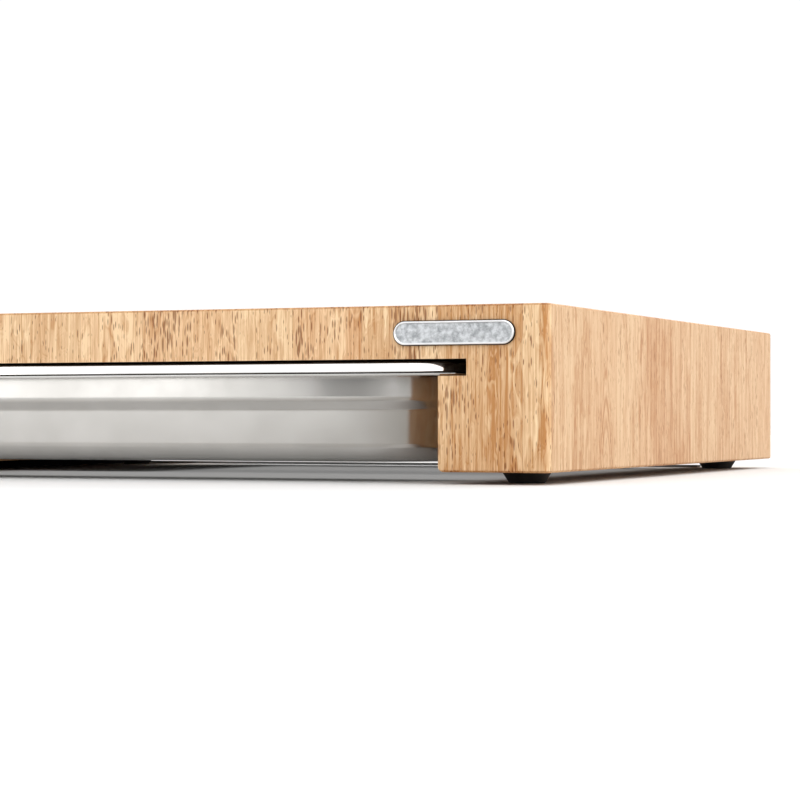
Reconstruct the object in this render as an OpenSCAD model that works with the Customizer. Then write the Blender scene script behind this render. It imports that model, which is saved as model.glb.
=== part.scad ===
// Cutting board with drawer trays: a thick end-grain block on four feet. A tunnel runs through the
// block from front to back, and two steel trays hang by their rims in grooves along its sides, one
// drawn out of the front and one out of the back.
// Millimetres. The origin is on the table under the middle of the block, +Z is up, the front with
// the badge faces -Y, and +X is to the right.

/* [Trays] */
// Width of a tray over its rim, across the board
tray_w = 325; // [260:1:400]
// Depth of a tray over its rim, from front to back
tray_d = 176; // [140:1:265]
// Height of a tray from its underside to the top of its bead
tray_h = 42.4; // [34:0.2:65]
// Thickness of the sheet steel
sheet_t = 0.8; // [0.6:0.1:1.2]
// Width of the rim from its edge to the wall
rim_w = 12.5; // [10:0.5:15]
// Width of the flat lip along the edge of the rim
lip_w = 3.7; // [2.5:0.1:5]
// Width of the lip's turned-up edge
lip_edge_w = 1.4; // [0.8:0.1:1.8]
// How far the edge of the lip turns up
lip_rise = 0.7; // [0.2:0.1:1]
// Height of the raised bead between the lip and the wall, over the underside of the rim
bead_h = 6.1; // [5:0.1:7]
// Radius of the bead's outer edge, under the sheet
bead_edge_r = 0.5; // [0.3:0.1:2]
// Radius with which the bead turns down into the wall, under the sheet
mouth_r = 2.4; // [1:0.2:2.8]
// Plan radius of the rim's outer corners
rim_corner_r = 15; // [8:1:20]
// Plan radius of the bead's corners, at the lip
bead_corner_r = 24; // [20:1:36]
// Plan radius of the wall's corners
wall_corner_r = 45; // [38:1:50]
// Height of the upright band of wall under the rim
upper_wall_h = 9.4; // [5:0.2:12]
// Height of the sloping shoulder that trays stack on
shoulder_h = 4.5; // [2:0.5:6]
// How far the wall steps in at the shoulder
shoulder_in = 2.5; // [1:0.5:4]
// How far the lower wall leans in
lean_in = 1.5; // [0.5:0.5:3]
// Radius between the wall and the bottom
bottom_r = 8; // [4:0.5:10]

/* [Block] */
// Thickness of the slab over the trays
slab_t = 22.2; // [16:0.2:40]
// Width of a cheek, the wood beside the tunnel
cheek_w = 48.5; // [40:0.5:70]
// Width of the outer strip of a cheek
outer_strip_w = 11.5; // [9.5:0.1:14]
// Radius of the block's upright corners
corner_r = 3; // [2:0.5:9]
// Radius that softens the block's upper and lower edges
edge_r = 1.2; // [0.5:0.1:1.8]
// Radius of a cheek's lower inner edge
cheek_foot_r = 2.5; // [0.5:0.5:5]
// Height of the trays' underside over the block's underside
tray_lift = 3.5; // [1:0.5:12]

/* [Grooves] */
// Depth of a groove in its cheek
groove_depth = 12.5; // [8:0.5:16]
// Free height over the bead in a groove
headroom = 0.7; // [0.5:0.1:4]
// Free width between the rim and the end of a groove
side_gap = 1; // [0.5:0.1:2]
// Running gap under the rim
running_gap = 0.2; // [0.1:0.05:0.4]
// Length of the land left between the front and the rear grooves, which stops the trays
land_l = 20; // [6:1:60]
// Gap between a pushed-in tray and the land
stop_gap = 0.3; // [0.2:0.1:0.8]
// How far a pushed-in rim stands back from the face of the block
rim_recess = 1.2; // [0.5:0.1:5]

/* [Feet] */
// Height of a foot
foot_h = 5; // [4.2:0.1:15]
// Diameter of a foot where it meets the wood
foot_top_d = 21.3; // [16:0.1:28]
// Diameter of a foot on the table
foot_bottom_d = 15.6; // [13:0.1:24]
// Distance of a foot's centre from the side of the block
foot_from_side = 21.9; // [20:0.1:26]
// Distance of a foot's centre from the front or the back of the block
foot_from_end = 34.4; // [20:0.2:60]

/* [Screws and washers] */
// Diameter of a screw's shank
screw_d = 3.4; // [2.5:0.1:4.2]
// Length of a screw under its head
screw_l = 14; // [10:1:25]
// Diameter of a screw's head
head_d = 6.6; // [5.5:0.1:7]
// Height of a screw's head
head_h = 1.4; // [1:0.1:1.8]
// Width of the slots of a screw's cross recess
recess_w = 0.9; // [0.6:0.1:1.2]
// Outer diameter of a washer
washer_d = 9; // [8:0.5:10]
// Thickness of a washer
washer_t = 0.8; // [0.5:0.1:1]
// Gap round a screw, washer or pin in its hole
hole_gap = 0.1; // [0.05:0.05:0.2]
// Height of a screw's head over the table
head_lift = 0.4; // [0.2:0.1:0.8]

/* [Badge] */
// Length of the badge
badge_l = 53.5; // [40:0.5:70]
// Height of the badge
badge_w = 10.4; // [7:0.1:12]
// Thickness of the badge at the bottom of its channel
badge_t = 0.9; // [0.6:0.1:1.5]
// Width of the raised border
border_w = 0.75; // [0.5:0.05:1]
// How far the border stands over the channel
border_h = 0.6; // [0.2:0.1:1]
// Width of the channel between the border and the field
channel_w = 0.45; // [0.3:0.05:0.8]
// How far the bare field stands over the channel
field_h = 0.3; // [0.1:0.1:0.8]
// Distance of the badge's centre from the right side of the block
badge_from_side = 41.3; // [36:0.1:160]
// Distance of the badge's centre from the top of the block
badge_from_top = 11.6; // [8:0.1:13]
// Diameter of a badge pin
pin_d = 2; // [1:0.1:3]
// Length of a badge pin in the wood
pin_l = 6; // [4:0.5:10]
// Distance between the two badge pins
pin_spacing = 34; // [20:1:40]

/* [Hidden] */
$fn = 96;
// Overshoot of a cutting tool, so that it passes clean through a face
through = 1;
// Length by which the pieces of a tray's sheet run into each other
overlap = 0.5;
// Steps in each arc of a tray's section
bend_steps = 6;

// A tray, measured from the underside of its rim
tray_bottom = bead_h - tray_h;
crown = bead_h - sheet_t;
foot_of_wall = wall_corner_r - shoulder_in - lean_in;
crown_edge = sheet_t + bead_edge_r;

// The block and the way for the trays through it
tunnel_w = tray_w + 2 * side_gap - 2 * groove_depth;
groove_span = tray_w + 2 * side_gap;
block_w = tunnel_w + 2 * cheek_w;
tray_way_l = rim_recess + tray_d + stop_gap;
block_l = 2 * tray_way_l + land_l;
underside = foot_h;
rim_z = underside + tray_lift - tray_bottom;
groove_floor = rim_z - running_gap;
ceiling = rim_z + bead_h + headroom;
top = ceiling + slab_t;
block_h = top - underside;
tray_y = block_l / 2 - rim_recess - tray_d / 2;

// Feet, counted from the front right one, and the heights of what fastens them
foot_x = block_w / 2 - foot_from_side;
foot_y = block_l / 2 - foot_from_end;
FEET = [[foot_x, -foot_y], [-foot_x, -foot_y], [foot_x, foot_y], [-foot_x, foot_y]];
head_top = head_lift + head_h;
recess_top = head_top + washer_t;
screw_top = head_top + screw_l;
tip_l = screw_d;

// Widths of the slab's strips from right to left, as shares of the tunnel's width
STRIP_SHARES = [34, 32, 25.5, 46, 31, 36, 40, 27, 30.5];
strips = len(STRIP_SHARES);
// Tones of neighbouring strips
WOOD = [[0.87, 0.70, 0.49], [0.84, 0.65, 0.45], [0.89, 0.73, 0.53], [0.82, 0.60, 0.42]];

function strip_name(i) = str("slab_strip_", i + 1);

// Sum of the first n values of a list
function total(list, n) = n == 0 ? 0 : list[n - 1] + total(list, n - 1);

// Points on an arc about a centre, from one angle to another
function arc(centre, r, from, to, steps) = [
    for (i = [0 : steps])
        let (a = from + (to - from) * i / steps)
        centre + r * [cos(a), sin(a)]];

// The normal to the right of the way from a to b
function right_of(a, b) = let (d = (b - a) / norm(b - a)) [d[1], -d[0]];

// A path moved to its right by a distance, with its corners mitred
function beside(path, distance) = let (last = len(path) - 1) [
    for (i = [0 : last])
        let (
            before = right_of(path[max(i, 1) - 1], path[max(i, 1)]),
            after = right_of(path[min(i, last - 1)], path[min(i, last - 1) + 1]))
        path[i] + distance * (before + after) / (1 + before * after)];

// The outline of a sheet whose under side follows a path
function sheet(path) = concat(path, reversed(beside(path, sheet_t)));

function reversed(list) = [for (i = [len(list) - 1 : -1 : 0]) list[i]];

// The turned-up edge of the lip in section. x is measured outwards from the centre of the rim's
// corner, y up from the underside of the rim.
function lip_section() = [
    [rim_corner_r, lip_rise],
    [rim_corner_r - lip_edge_w, 0],
    [rim_corner_r - lip_edge_w - overlap, 0]];

// The outside of the bead in section, from the lip up to its flat crown. x is measured outwards
// from the centre of the bead's corner, y up from the underside of the rim.
function bead_section() = concat(
    [[bead_corner_r + lip_w / 2, 0],
     [bead_corner_r - sheet_t, 0]],
    arc([bead_corner_r - crown_edge, crown - bead_edge_r], bead_edge_r, 0, 90, bend_steps),
    [[bead_corner_r - crown_edge - overlap, crown]]);

// The wall in section, from the crown down over the shoulder to the bottom. x is measured outwards
// from the centre of the wall's corner.
function wall_section() = concat(
    [[wall_corner_r + mouth_r + overlap, crown]],
    arc([wall_corner_r + mouth_r, crown - mouth_r], mouth_r, 90, 180, bend_steps),
    [[wall_corner_r, -upper_wall_h],
     [wall_corner_r - shoulder_in, -upper_wall_h - shoulder_h]],
    arc([foot_of_wall - bottom_r, tray_bottom + bottom_r], bottom_r, 0, -90, bend_steps),
    [[foot_of_wall - bottom_r - overlap, tray_bottom]]);

// A rectangle with round corners about the origin
module round_rectangle(w, d, r) {
    square([w, d - 2 * r], center = true);
    square([w - 2 * r, d], center = true);
    for (x = [-1, 1], y = [-1, 1])
        translate([x * (w / 2 - r), y * (d / 2 - r)])
            circle(r);
}

// A slot outline with half-round ends about the origin
module stadium(l, w) {
    square([l - w, w], center = true);
    for (x = [-1, 1])
        translate([x * (l - w) / 2, 0])
            circle(d = w);
}

// The edge of the block in section: x runs outwards, and both outer corners are round
module edge_section() {
    square([corner_r - edge_r, block_h]);
    translate([0, edge_r])
        square([corner_r, block_h - 2 * edge_r]);
    for (y = [edge_r, block_h - edge_r])
        translate([corner_r - edge_r, y])
            circle(edge_r);
}

// Carries a section round a rounded rectangle of corner centres w by d: a revolve in each corner
// and a straight length between them
module frame_of_section(w, d) {
    for (turn = [0 : 3]) {
        long = turn % 2 == 0 ? d : w;
        reach = turn % 2 == 0 ? w : d;
        rotate(90 * turn) {
            translate([reach / 2, long / 2])
                rotate_extrude(angle = 90)
                    children();
            translate([reach / 2, long / 2])
                rotate([90, 0, 0])
                    linear_extrude(long)
                        children();
        }
    }
}

// The whole block before the tunnel is cut
module block() {
    inner_w = block_w - 2 * corner_r;
    inner_l = block_l - 2 * corner_r;
    translate([0, 0, underside]) {
        translate([-inner_w / 2, -inner_l / 2])
            cube([inner_w, inner_l, block_h]);
        frame_of_section(inner_w, inner_l)
            edge_section();
    }
}

// The way for the trays: the tunnel, with its lower edges flared, and the stopped grooves
module tray_way() {
    full_l = block_l + 2 * through;
    translate([-tunnel_w / 2, -full_l / 2, underside - through])
        cube([tunnel_w, full_l, ceiling - underside + through]);
    for (side = [-1, 1]) {
        translate([0, side * (land_l / 2 + tray_way_l / 2), (groove_floor + ceiling) / 2])
            cube([groove_span, tray_way_l + 2 * through, ceiling - groove_floor], center = true);
        translate([side * tunnel_w / 2, full_l / 2, underside])
            rotate([90, 0, 0])
                linear_extrude(full_l)
                    difference() {
                        square(2 * cheek_foot_r, center = true);
                        translate([side * cheek_foot_r, cheek_foot_r])
                            circle(cheek_foot_r);
                    }
    }
}

// Places children at each foot
module at_feet() {
    for (place = FEET)
        translate(place)
            children();
}

// Places children at the middle of the badge, with +Z pointing out of the front face
module at_badge() {
    translate([block_w / 2 - badge_from_side, -block_l / 2, top - badge_from_top])
        rotate([90, 0, 0])
            children();
}

// Places children at each of the badge's two pins
module at_pins() {
    at_badge()
        for (x = [-1, 1])
            translate([x * pin_spacing / 2, 0])
                children();
}

// The holes that the foot screws and the badge pins sit in
module fastener_holes() {
    at_feet()
        cylinder(h = screw_top + 2 * hole_gap, d = screw_d + 2 * hole_gap);
    at_pins()
        translate([0, 0, -pin_l - hole_gap])
            cylinder(h = pin_l + hole_gap + through, d = pin_d + 2 * hole_gap);
}

// One strip of the block, from x0 to x1
module strip(x0, x1, tone) {
    color(WOOD[tone % len(WOOD)])
        difference() {
            intersection() {
                block();
                translate([x0, -block_l / 2 - through, underside - through])
                    cube([x1 - x0, block_l + 2 * through, block_h + 2 * through]);
            }
            tray_way();
            fastener_holes();
        }
}

// The x at which strip i of the slab starts, counted from the right cheek
function strip_edge(i) = tunnel_w * (1 / 2 - total(STRIP_SHARES, i) / total(STRIP_SHARES, strips));

module slab_strip(i) {
    strip(strip_edge(i + 1), strip_edge(i), i);
}

module inner_cheek_right() {
    strip(tunnel_w / 2, block_w / 2 - outer_strip_w, 1);
}

module outer_cheek_right() {
    strip(block_w / 2 - outer_strip_w, block_w / 2 + through, 2);
}

module inner_cheek_left() {
    strip(outer_strip_w - block_w / 2, -tunnel_w / 2, 3);
}

module outer_cheek_left() {
    strip(-block_w / 2 - through, outer_strip_w - block_w / 2, 0);
}

// A flat ring of sheet between two outlines, each given by its distance from the edge of the rim
// and its corner radius
module flat_ring(outer_in, outer_r, inner_in, inner_r) {
    linear_extrude(sheet_t)
        difference() {
            round_rectangle(tray_w - 2 * outer_in, tray_d - 2 * outer_in, outer_r);
            round_rectangle(tray_w - 2 * inner_in, tray_d - 2 * inner_in, inner_r);
        }
}

// Carries a section of sheet round the tray, with the centre of its corners at a distance from the
// edge of the rim
module pressed(centre_in, section) {
    frame_of_section(tray_w - 2 * centre_in, tray_d - 2 * centre_in)
        polygon(sheet(section));
}

// A pressed tray: lip with a turned-up edge, bead with a flat crown, stepped wall and bottom in one
// sheet. The crown widens towards the corners, because the wall turns there on a larger radius.
module tray() {
    bottom_in = rim_w + wall_corner_r - foot_of_wall + bottom_r;
    color([0.80, 0.80, 0.79]) {
        pressed(rim_corner_r, lip_section());
        flat_ring(lip_edge_w, rim_corner_r - lip_edge_w, lip_w, bead_corner_r);
        pressed(lip_w + bead_corner_r, bead_section());
        translate([0, 0, crown])
            flat_ring(
                lip_w + crown_edge, bead_corner_r - crown_edge,
                rim_w - mouth_r, wall_corner_r + mouth_r);
        pressed(rim_w + wall_corner_r, wall_section());
        translate([0, 0, tray_bottom])
            linear_extrude(sheet_t)
                round_rectangle(
                    tray_w - 2 * bottom_in, tray_d - 2 * bottom_in, foot_of_wall - bottom_r);
    }
}

module front_tray() {
    translate([0, -tray_y, rim_z])
        tray();
}

module rear_tray() {
    translate([0, tray_y, rim_z])
        rotate(180)
            tray();
}

// A tapered rubber foot with a recess for its washer and screw
module foot(i) {
    color([0.06, 0.06, 0.06])
        translate(FEET[i])
            difference() {
                cylinder(h = foot_h, d1 = foot_bottom_d, d2 = foot_top_d);
                translate([0, 0, -through])
                    cylinder(h = recess_top + through, d = washer_d + 2 * hole_gap);
                cylinder(h = foot_h + through, d = screw_d + 2 * hole_gap);
            }
}

module foot_front_right() {
    foot(0);
}

module foot_front_left() {
    foot(1);
}

module foot_rear_right() {
    foot(2);
}

module foot_rear_left() {
    foot(3);
}

module foot_washers() {
    color([0.70, 0.70, 0.70])
        at_feet()
            translate([0, 0, head_top])
                difference() {
                    cylinder(h = washer_t, d = washer_d);
                    translate([0, 0, -through])
                        cylinder(h = washer_t + 2 * through, d = screw_d + 2 * hole_gap);
                }
}

// Flat-headed wood screws with a cross recess and a pointed tip, driven from below
module foot_screws() {
    color([0.75, 0.75, 0.76])
        at_feet()
            translate([0, 0, head_lift])
                difference() {
                    union() {
                        cylinder(h = head_h, d1 = head_d - head_h, d2 = head_d);
                        cylinder(h = head_h + screw_l - tip_l, d = screw_d);
                        translate([0, 0, head_h + screw_l - tip_l])
                            cylinder(h = tip_l, d1 = screw_d, d2 = 0);
                    }
                    for (turn = [0, 90])
                        rotate(turn)
                            cube([head_d / 2, recess_w, head_h], center = true);
                }
}

// The bare badge: a raised border, a channel and a plain field
module badge_plate() {
    color([0.78, 0.79, 0.80])
        at_badge() {
            linear_extrude(badge_t)
                stadium(badge_l, badge_w);
            linear_extrude(badge_t + border_h)
                difference() {
                    stadium(badge_l, badge_w);
                    stadium(badge_l - 2 * border_w, badge_w - 2 * border_w);
                }
            linear_extrude(badge_t + field_h)
                stadium(
                    badge_l - 2 * (border_w + channel_w),
                    badge_w - 2 * (border_w + channel_w));
        }
}

module badge_pins() {
    color([0.70, 0.70, 0.71])
        at_pins()
            translate([0, 0, -pin_l])
                cylinder(h = pin_l, d = pin_d);
}

for (i = [0 : strips - 1])
    slab_strip(i);
inner_cheek_right();
outer_cheek_right();
inner_cheek_left();
outer_cheek_left();
front_tray();
rear_tray();
foot_front_right();
foot_front_left();
foot_rear_right();
foot_rear_left();
foot_washers();
foot_screws();
badge_plate();
badge_pins();
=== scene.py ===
# %% [markdown]
# # A cutting board with drawer trays
# A thick end-grain block stands on four rubber feet. A tunnel runs under its slab, and two pressed
# steel trays hang by their rims in grooves along the tunnel, so they slide out like drawers.
#
# This notebook dresses the CAD model of that board. The dressed pieces could be drawn again from
# the same measures, but then the two models would drift apart. So the CAD solids are loaded first,
# and every later piece takes its place and its size from them.

# %% Load the CAD frame
import math
import random

import bmesh
import bpy
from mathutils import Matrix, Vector


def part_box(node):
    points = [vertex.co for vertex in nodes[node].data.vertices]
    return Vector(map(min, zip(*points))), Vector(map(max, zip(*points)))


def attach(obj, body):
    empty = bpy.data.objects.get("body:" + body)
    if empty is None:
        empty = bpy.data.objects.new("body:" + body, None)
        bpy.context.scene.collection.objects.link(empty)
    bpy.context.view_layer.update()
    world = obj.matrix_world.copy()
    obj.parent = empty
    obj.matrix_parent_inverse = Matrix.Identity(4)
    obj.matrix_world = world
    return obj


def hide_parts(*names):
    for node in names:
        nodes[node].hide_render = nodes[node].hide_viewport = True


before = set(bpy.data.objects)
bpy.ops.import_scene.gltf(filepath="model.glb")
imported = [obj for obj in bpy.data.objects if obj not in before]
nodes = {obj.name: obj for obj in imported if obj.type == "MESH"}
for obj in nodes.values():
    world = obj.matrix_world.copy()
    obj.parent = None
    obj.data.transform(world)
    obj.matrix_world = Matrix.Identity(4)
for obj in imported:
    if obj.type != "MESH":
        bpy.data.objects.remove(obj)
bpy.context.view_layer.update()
MM = 0.001

print("CAD nodes:", len(nodes))

# %% [markdown]
# ## Camera
# The board is seen from just above the worktop, a little over a metre away. A wide lens close by
# would show the same faces, but it would splay the upright edges of the block. A long lens that is
# held nearly level keeps them upright. Blender gives a lens in millimetres for a sensor of a given
# width, so the two numbers belong together.

# %% Set up the camera
EYE = Vector((0.5084, -1.0883, 0.0274))
TURN_LEFT, TILT_UP = 22.56, 0.43
LENS, SENSOR = 106.2, 36

camera_data = bpy.data.cameras.new("camera")
camera_data.sensor_width = SENSOR
camera_data.lens = LENS
camera_data.clip_start = 0.01
camera = bpy.data.objects.new("camera", camera_data)
camera.location = EYE
camera.rotation_euler = (math.radians(90 + TILT_UP), 0, math.radians(TURN_LEFT))
bpy.context.scene.collection.objects.link(camera)
bpy.context.scene.camera = camera

print("camera", round(EYE.length, 3), "m from the middle of the board")

# %% [markdown]
# ## Helpers for materials
# A finish is described by a tree of nodes. It could be put together by hand in Blender's editor; in
# code it takes many nearly equal lines. Small helpers keep those short: one starts an empty
# material, one adds a node, fills its sockets and links whatever is itself a socket, and the others
# do the sums that come up again and again.

# %% Helpers for node trees
def new_material(name):
    material = bpy.data.materials.new(name)
    material.use_nodes = True
    material.node_tree.nodes.clear()
    return material, material.node_tree


def add(tree, kind, inputs=None, **settings):
    node = tree.nodes.new("ShaderNode" + kind)
    for key, value in settings.items():
        setattr(node, key, value)
    for key, value in (inputs or {}).items():
        if isinstance(value, bpy.types.NodeSocket):
            tree.links.new(value, node.inputs[key])
        else:
            node.inputs[key].default_value = value
    return node


def maths(tree, operation, *values, clamp=False):
    node = add(tree, "Math", dict(enumerate(values)), operation=operation, use_clamp=clamp)
    return node.outputs[0]


def vectors(tree, operation, first, second):
    return add(tree, "VectorMath", {0: first, 1: second}, operation=operation).outputs[0]


def size_of(tree, value):
    return maths(tree, "ABSOLUTE", value)


def distance(tree, first, second):
    return size_of(tree, maths(tree, "SUBTRACT", first, second))


print("sums that a tree can do: maths, vectors, size_of and distance")

# %% [markdown]
# ### Ranges, colours and noise
# Most finishes need the same few steps: noise where the real surface is uneven, a range that says
# which noise values count, and a blend of two colours by that share. Blender's colour ramp could do
# the last two in one node. A range is used because other nodes can feed its limits as well, and
# because its four numbers fit into one line.

# %% Helpers for ranges, colours and noise
def between(tree, value, low, high, to_low=0.0, to_high=1.0):
    """Maps a value from one range to another and stops at the ends."""
    sockets = {"Value": value, "From Min": low, "From Max": high,
               "To Min": to_low, "To Max": to_high}
    return add(tree, "MapRange", sockets).outputs[0]


def blend_colours(tree, share, first, second, how="MIX"):
    node = add(tree, "Mix", data_type="RGBA", blend_type=how)
    for index, value in ((0, share), (6, first), (7, second)):
        if isinstance(value, bpy.types.NodeSocket):
            tree.links.new(value, node.inputs[index])
        else:
            node.inputs[index].default_value = value
    return node.outputs[2]


def object_point(tree):
    return add(tree, "TexCoord").outputs["Object"]


def split(tree, point):
    return add(tree, "SeparateXYZ", {0: point}).outputs


def noise(tree, point, scale=1.0, detail=2.0, roughness=0.5):
    return add(tree, "TexNoise", {"Vector": point, "Scale": scale, "Detail": detail,
                                  "Roughness": roughness}).outputs["Fac"]


def finish(tree, **sockets):
    """Ends a tree with the usual shader. Underscores in the names stand for spaces."""
    inputs = {key.replace("_", " "): value for key, value in sockets.items()}
    shader = add(tree, "BsdfPrincipled", inputs)
    add(tree, "OutputMaterial", {"Surface": shader.outputs[0]})


print("texture helpers: between, blend_colours, noise and finish")

# %% [markdown]
# ## Rubberwood, sawn so that its fibres stand upright
# The block is glued up from short pieces whose fibres run from top to bottom. From above one sees
# the cut ends with arcs of growth rings and pores; from the side one sees long fibres with short
# dark dashes, which are the same pores cut lengthwise.
#
# Two flat textures, one for the ends and one for the sides, would not meet at the edges. So the
# wood is one solid texture, as in a real tree, and both views are cuts through it. Noise that is
# measured in narrow steps across the fibres and long steps along them comes out as fibres.

# %% Noise along the fibres
def stretched(tree, point, across, along):
    """The point measured in steps of one width across the fibres and one length along them."""
    return vectors(tree, "MULTIPLY", point, (1 / across, 1 / across, 1 / along))


print("one more helper: stretched")

# %% [markdown]
# ### Where in its tree a piece was cut
# Every glued piece of a real block comes from another place in another tree. Repeating one plank
# would look like a print, so each piece is moved to a spot of its own by a throw of dice, which its
# seed decides. The growth rings are distances from the upright middle of that tree. The middle
# leans a little, which makes the pointed arches of flat-sawn wood, and a slow wave bends the rings.

# %% A piece's place in its tree
HALF = (0.5, 0.5, 0.5)
TREE_REACH = (0.20, 0.20, 4.0)
LEAN = 0.30
WAVE = 0.020
WAVE_WIDTH, WAVE_LENGTH = 0.030, 0.110


def place_in_tree(group, point, seed):
    """The dice, the point moved to its place, and its distance from the middle of the tree."""
    dice = add(group, "TexWhiteNoise", {"W": seed}, noise_dimensions="1D").outputs["Color"]
    throw = vectors(group, "SUBTRACT", dice, HALF)
    moved = vectors(group, "ADD", point, vectors(group, "MULTIPLY", throw, TREE_REACH))
    lean = split(group, throw)
    height = split(group, point)[2]
    shear = add(group, "CombineXYZ", {
        "X": maths(group, "MULTIPLY", height, maths(group, "MULTIPLY", lean[1], LEAN)),
        "Y": maths(group, "MULTIPLY", height, maths(group, "MULTIPLY", lean[2], LEAN)),
    }).outputs[0]
    grown = vectors(group, "ADD", moved, shear)
    slow = add(group, "TexNoise", {"Vector": stretched(group, moved, WAVE_WIDTH, WAVE_LENGTH),
                                   "Detail": 2.0})
    bend = vectors(group, "SUBTRACT", slow.outputs["Color"], HALF)
    bend = add(group, "VectorMath", {0: bend, "Scale": WAVE}, operation="SCALE").outputs[0]
    flat = vectors(group, "MULTIPLY", vectors(group, "ADD", grown, bend), (1, 1, 0))
    radius = add(group, "VectorMath", {0: flat}, operation="LENGTH").outputs["Value"]
    return dice, moved, radius


print("a piece lies up to", TREE_REACH[0] / 2 / MM, "mm to either side of its tree's middle")

# %% [markdown]
# ### Rings, fibres and pores
# The rings are noise in one dimension, read along the radius at three widths. Evenly spaced bands
# would be simpler, but a tree doesn't grow evenly. The pores are the vessels that carry sap. They
# are cells of a Voronoi texture, drawn out along the fibres, in three sets so that long and short
# dashes mix, and they crowd in some places and in some pieces.

# %% Rings, fibres and pores
RINGS = (
    # width in metres, roughness, and the noise values that count as pale and as warm
    (0.0085, 0.5, 0.35, 0.65), (0.0028, 0.6, 0.36, 0.68), (0.0009, 0.5, 0.35, 0.70),
)
FIBRES = (
    # width and length in metres, detail, roughness, and the values for pale and warm
    (0.0011, 0.034, 4.0, 0.62, 0.33, 0.70), (0.0006, 0.020, 2.0, 0.6, 0.34, 0.68),
    (0.009, 0.060, 2.0, 0.5, 0.32, 0.68),
)
PORES = (
    # width and length of a cell in metres, and the share of it that the pore fills
    (0.0011, 0.0060, 0.27), (0.0016, 0.0105, 0.24), (0.0026, 0.0200, 0.18),
)
CROWD_WIDTH, CROWD_LENGTH = 0.010, 0.040
# Two limits of a value, and the size of the pores at each of them
CROWD_SIZES = (0.38, 0.62, 0.55, 1.35)
PIECE_SIZES = (0.0, 1.0, 0.65, 1.2)
PORE_CORE = 0.55  # where a pore is at its darkest, as a share of its reach


def growth_rings(group, radius, seed):
    rings = []
    for width, roughness, pale, warm in RINGS:
        place = maths(group, "ADD", maths(group, "DIVIDE", radius, width), seed)
        ring = add(group, "TexNoise", {"W": place, "Scale": 1.0, "Detail": 2.0,
                                       "Roughness": roughness}, noise_dimensions="1D")
        rings.append(between(group, ring.outputs["Fac"], pale, warm))
    return rings


def upright_fibres(group, moved):
    fibres = []
    for width, length, detail, roughness, pale, warm in FIBRES:
        fibre = noise(group, stretched(group, moved, width, length), 1.0, detail, roughness)
        fibres.append(between(group, fibre, pale, warm))
    return fibres


def sap_pores(group, moved, dice, plenty):
    crowd = noise(group, stretched(group, moved, CROWD_WIDTH, CROWD_LENGTH), 1.0, 1.0)
    crowd = between(group, crowd, *CROWD_SIZES)
    many = add(group, "SeparateColor", {0: dice}).outputs[2]
    many = maths(group, "MULTIPLY", between(group, many, *PIECE_SIZES), plenty)
    pores = None
    for width, length, size in PORES:
        cells = add(group, "TexVoronoi", {"Vector": stretched(group, moved, width, length),
                                          "Scale": 1.0, "Randomness": 1.0})
        edge = maths(group, "MULTIPLY", maths(group, "MULTIPLY", size, crowd), many)
        core = maths(group, "MULTIPLY", edge, PORE_CORE)
        pore = between(group, cells.outputs["Distance"], edge, core)
        pores = pore if pores is None else maths(group, "MAXIMUM", pores, pore)
    return pores


print(len(RINGS), "widths of ring,", len(FIBRES), "of fibre and", len(PORES), "sets of pores")

# %% [markdown]
# ### The colour of the wood
# Rings and fibres together say how warm the wood is at a point, from pale to brown. Over that come
# the red cast of some pieces, the pores, the darker cut ends, which drink more oil, and the glue. A
# picture of real wood would give such colours too, but it holds one surface only and repeats. These
# can be cut anywhere.

# %% The colour of the wood
PALE_WOOD, WARM_WOOD = (0.93, 0.69, 0.42, 1), (0.50, 0.225, 0.07, 1)
RED_CAST = (1.0, 0.80, 0.74, 1)
PORE_BROWN = (0.24, 0.085, 0.025, 1)
CUT_END = (0.70, 0.58, 0.46, 1)
GLUE_BROWN = (0.36, 0.17, 0.07, 1)
SHARES = (0.24, 0.30, 0.20, 0.42, 0.52, 0.14)  # of the three rings, then of the three fibres
PALE_START = 0.65
GLUE_DEPTH = 0.42
RED_IN_PALE_RINGS, DASH_ON_PALE_FIBRES = 0.55, 0.6


def weighed(group, parts, shares):
    """The sum of the parts, each by its share."""
    total = None
    for part, share in zip(parts, shares):
        part = maths(group, "MULTIPLY", part, share)
        total = part if total is None else maths(group, "ADD", total, part)
    return total


def wood_colour(group, given, rings, fibres, pores):
    warmth = maths(group, "SUBTRACT", weighed(group, rings + fibres, SHARES), PALE_START)
    warmth = maths(group, "ADD", warmth, given["Tone"], clamp=True)
    colour = blend_colours(group, warmth, PALE_WOOD, WARM_WOOD)
    red = between(group, rings[0], 0.0, 1.0, RED_IN_PALE_RINGS, 1.0)
    red = maths(group, "MULTIPLY", given["Red"], red)
    colour = blend_colours(group, red, colour, RED_CAST, "MULTIPLY")
    dash = between(group, fibres[0], 0.0, 1.0, DASH_ON_PALE_FIBRES, 1.0)
    dash = maths(group, "MULTIPLY", pores, dash)
    colour = blend_colours(group, dash, colour, PORE_BROWN)
    colour = blend_colours(group, given["End"], colour, CUT_END, "MULTIPLY")
    glue = maths(group, "MULTIPLY", given["Glue"], GLUE_DEPTH)
    return blend_colours(group, glue, colour, GLUE_BROWN)


print("wood runs from", PALE_WOOD[:3], "to", WARM_WOOD[:3])

# %% [markdown]
# ### The surface of the wood
# Oiled wood shines softly along its fibres. The pores are open, so they are rougher and lie lower,
# and a glue joint lies a little low as well. Real dents would need millions of points. A height
# that only bends the light is enough, because none of them is deeper than a tenth of a millimetre.

# %% The surface of the wood
SMOOTH_WOOD = 0.44
ROUGHER_FIBRE, ROUGHER_PORE = 0.10, 0.22
HIGHER_FIBRE, LOWER_GLUE = 0.25, 0.5


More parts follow.
